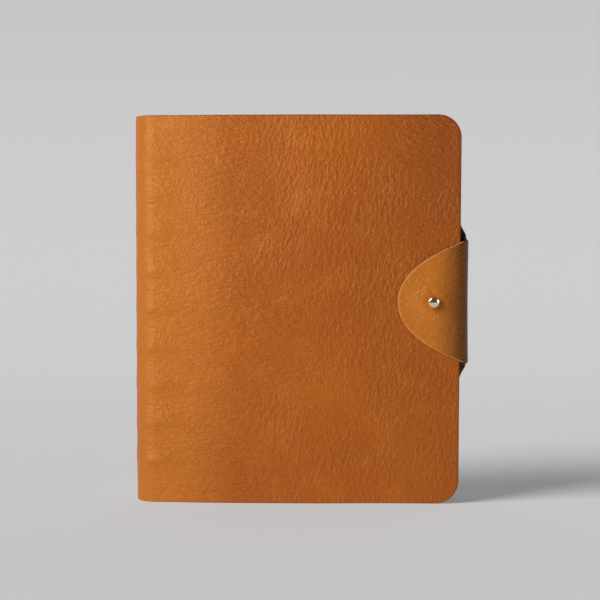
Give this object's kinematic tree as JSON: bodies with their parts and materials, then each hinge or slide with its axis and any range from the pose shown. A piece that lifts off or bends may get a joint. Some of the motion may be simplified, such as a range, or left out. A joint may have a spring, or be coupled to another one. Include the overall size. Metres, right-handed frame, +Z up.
{
  "type": "leather notebook cover",
  "caption": "Soft leather wrap cover for a disc-bound notebook, closed by a fore-edge tab that buttons onto a brass ball stud.",
  "frame": {"origin": "on the surface that it stands on, at the centre of the closed cover's footprint", "axes": "+X from the spine to the fore-edge, +Y from the front cover to the back cover, +Z up the spine"},
  "size_m": [0.1896, 0.0332, 0.22],
  "materials": {
    "leather": "vegetable-tanned tan hide, lightly waxed, suede on the flesh side",
    "brass": "polished pale brass",
    "aluminium": "satin turned aluminium",
    "paper": "uncoated cream paper",
    "card": "dyed kraft board"
  },
  "bodies": {
    "back": {"back_cover": "leather", "binding_strip": "leather", "back_card": "card"},
    "spine": {"spine": "leather"},
    "front": {"front_cover": "leather", "ball_stud": "brass", "stud_screw": "brass"},
    "tab_wrap": {"tab_wrap": "leather"},
    "tab_flap": {"tab_flap": "leather"},
    "discs": {"disc_1": "aluminium", "disc_2": "aluminium", "disc_3": "aluminium", "disc_4": "aluminium", "disc_5": "aluminium", "disc_6": "aluminium", "disc_7": "aluminium", "disc_8": "aluminium", "disc_9": "aluminium"},
    "front_card": {"front_card": "card"},
    "pages_1": {"pages_1": "paper"},
    "pages_2": {"pages_2": "paper"},
    "pages_3": {"pages_3": "paper"},
    "pages_4": {"pages_4": "paper"},
    "pages_5": {"pages_5": "paper"},
    "pages_6": {"pages_6": "paper"},
    "pages_7": {"pages_7": "paper"},
    "pages_8": {"pages_8": "paper"},
    "pages_9": {"pages_9": "paper"},
    "pages_10": {"pages_10": "paper"},
    "pages_11": {"pages_11": "paper"},
    "pages_12": {"pages_12": "paper"}
  },
  "joints": [
    {"name": "cover_open", "type": "hinge", "parent": "back", "child": "spine", "pos_m": [-0.08313, 0.01655, 0.11], "axis": [0, 0, -1], "range_deg": [0, 90]},
    {"name": "front_fold", "type": "hinge", "parent": "spine", "child": "front", "pos_m": [-0.08313, -0.00645, 0.11], "axis": [0, 0, -1], "range_deg": [0, 90]},
    {"name": "tab_open", "type": "hinge", "parent": "back", "child": "tab_wrap", "pos_m": [0.09137, 0.01655, 0.1146], "axis": [0, 0, 1], "range_deg": [0, 90], "deforming": ["tab_flap"]},
    {"name": "tab_unfold", "type": "hinge", "parent": "tab_wrap", "child": "tab_flap", "pos_m": [0.09137, -0.00905, 0.1146], "axis": [0, 0, 1], "range_deg": [0, 90]},
    {"name": "disc_spin", "type": "hinge", "parent": "back", "child": "discs", "pos_m": [-0.08313, 0.00505, 0.11], "axis": [0, 0, 1], "continuous": true},
    {"name": "front_card_turn", "type": "hinge", "parent": "back", "child": "front_card", "pos_m": [-0.08313, 0.00505, 0.11], "axis": [0, 0, -1], "range_deg": [0, 180]},
    {"name": "pages_1_turn", "type": "hinge", "parent": "back", "child": "pages_1", "pos_m": [-0.08313, 0.00505, 0.11], "axis": [0, 0, -1], "range_deg": [0, 166.7]},
    {"name": "pages_2_turn", "type": "hinge", "parent": "back", "child": "pages_2", "pos_m": [-0.08313, 0.00505, 0.11], "axis": [0, 0, -1], "range_deg": [0, 152.8]},
    {"name": "pages_3_turn", "type": "hinge", "parent": "back", "child": "pages_3", "pos_m": [-0.08313, 0.00505, 0.11], "axis": [0, 0, -1], "range_deg": [0, 139]},
    {"name": "pages_4_turn", "type": "hinge", "parent": "back", "child": "pages_4", "pos_m": [-0.08313, 0.00505, 0.11], "axis": [0, 0, -1], "range_deg": [0, 125.1]},
    {"name": "pages_5_turn", "type": "hinge", "parent": "back", "child": "pages_5", "pos_m": [-0.08313, 0.00505, 0.11], "axis": [0, 0, -1], "range_deg": [0, 111.3]},
    {"name": "pages_6_turn", "type": "hinge", "parent": "back", "child": "pages_6", "pos_m": [-0.08313, 0.00505, 0.11], "axis": [0, 0, -1], "range_deg": [0, 97.4]},
    {"name": "pages_7_turn", "type": "hinge", "parent": "back", "child": "pages_7", "pos_m": [-0.08313, 0.00505, 0.11], "axis": [0, 0, -1], "range_deg": [0, 83.6]},
    {"name": "pages_8_turn", "type": "hinge", "parent": "back", "child": "pages_8", "pos_m": [-0.08313, 0.00505, 0.11], "axis": [0, 0, -1], "range_deg": [0, 69.7]},
    {"name": "pages_9_turn", "type": "hinge", "parent": "back", "child": "pages_9", "pos_m": [-0.08313, 0.00505, 0.11], "axis": [0, 0, -1], "range_deg": [0, 55.9]},
    {"name": "pages_10_turn", "type": "hinge", "parent": "back", "child": "pages_10", "pos_m": [-0.08313, 0.00505, 0.11], "axis": [0, 0, -1], "range_deg": [0, 42]},
    {"name": "pages_11_turn", "type": "hinge", "parent": "back", "child": "pages_11", "pos_m": [-0.08313, 0.00505, 0.11], "axis": [0, 0, -1], "range_deg": [0, 28.2]},
    {"name": "pages_12_turn", "type": "hinge", "parent": "back", "child": "pages_12", "pos_m": [-0.08313, 0.00505, 0.11], "axis": [0, 0, -1], "range_deg": [0, 14.3]}
  ],
  "couplings": [
    {"joint": "front_fold", "follows": "cover_open", "ratio": 1},
    {"joint": "tab_unfold", "follows": "tab_open", "ratio": 1},
    {"joint": "front_card_turn", "follows": "cover_open", "ratio": 2},
    {"joint": "pages_1_turn", "follows": "cover_open", "ratio": 1.8462},
    {"joint": "pages_2_turn", "follows": "cover_open", "ratio": 1.6923},
    {"joint": "pages_3_turn", "follows": "cover_open", "ratio": 1.5385},
    {"joint": "pages_4_turn", "follows": "cover_open", "ratio": 1.3846},
    {"joint": "pages_5_turn", "follows": "cover_open", "ratio": 1.2308},
    {"joint": "pages_6_turn", "follows": "cover_open", "ratio": 1.0769},
    {"joint": "pages_7_turn", "follows": "cover_open", "ratio": 0.9231},
    {"joint": "pages_8_turn", "follows": "cover_open", "ratio": 0.7692},
    {"joint": "pages_9_turn", "follows": "cover_open", "ratio": 0.6154},
    {"joint": "pages_10_turn", "follows": "cover_open", "ratio": 0.4615},
    {"joint": "pages_11_turn", "follows": "cover_open", "ratio": 0.3077},
    {"joint": "pages_12_turn", "follows": "cover_open", "ratio": 0.1538}
  ]
}
